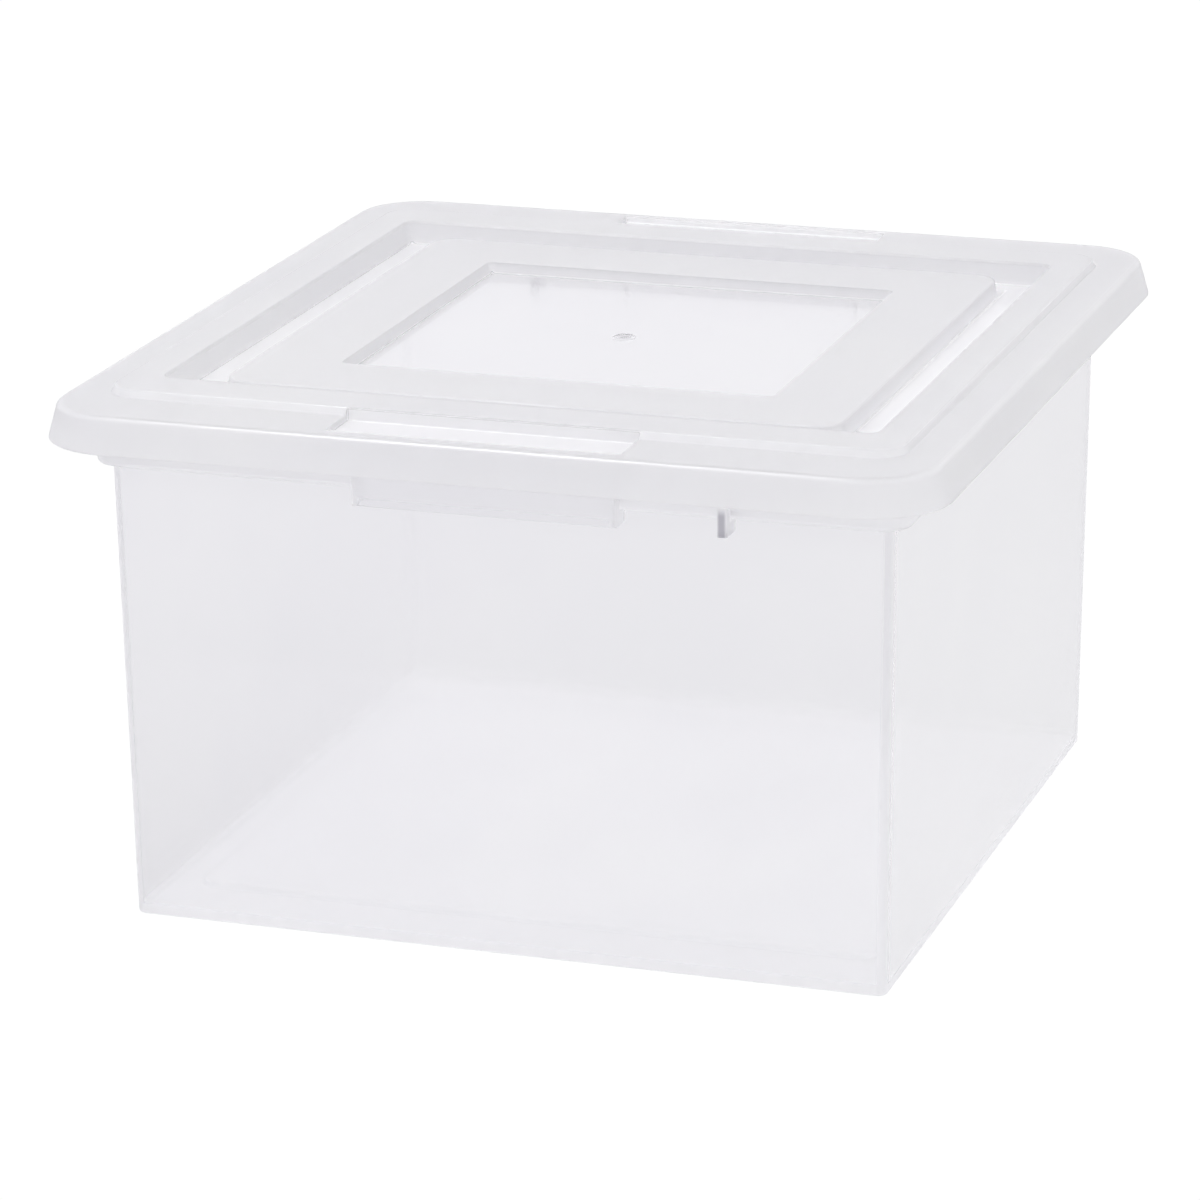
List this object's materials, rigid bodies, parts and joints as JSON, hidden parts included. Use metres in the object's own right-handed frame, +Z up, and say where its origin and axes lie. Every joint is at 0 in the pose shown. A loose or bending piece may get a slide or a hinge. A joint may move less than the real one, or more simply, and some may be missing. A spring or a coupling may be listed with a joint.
{
  "type": "file storage box",
  "caption": "Clear plastic box for hanging files and papers, with a flared lift-off lid, stacking ring, recessed panel and hand grips at front and back.",
  "frame": {"origin": "middle of the footprint, on the surface that the box stands on", "axes": "+Z up; -Y is the front, where the hand grip with the rib on its right is; +X to the right seen from the front. The tub is the same after half a turn about Z."},
  "size_m": [0.4648, 0.4972, 0.28],
  "materials": {
    "tub_plastic": "clear polypropylene with a faint milky haze, moulded gloss, fine scuffs",
    "lid_plastic": "clear polypropylene, matt grained ring and frame, polished panel, channel and pockets"
  },
  "bodies": {
    "tub": {"box_body": "tub_plastic"},
    "lid": {"lid": "lid_plastic"}
  },
  "joints": [
    {"name": "lid_lift", "type": "slide", "parent": "tub", "child": "lid", "axis": [0, 0, 1], "range_m": [0, 0.2]}
  ]
}
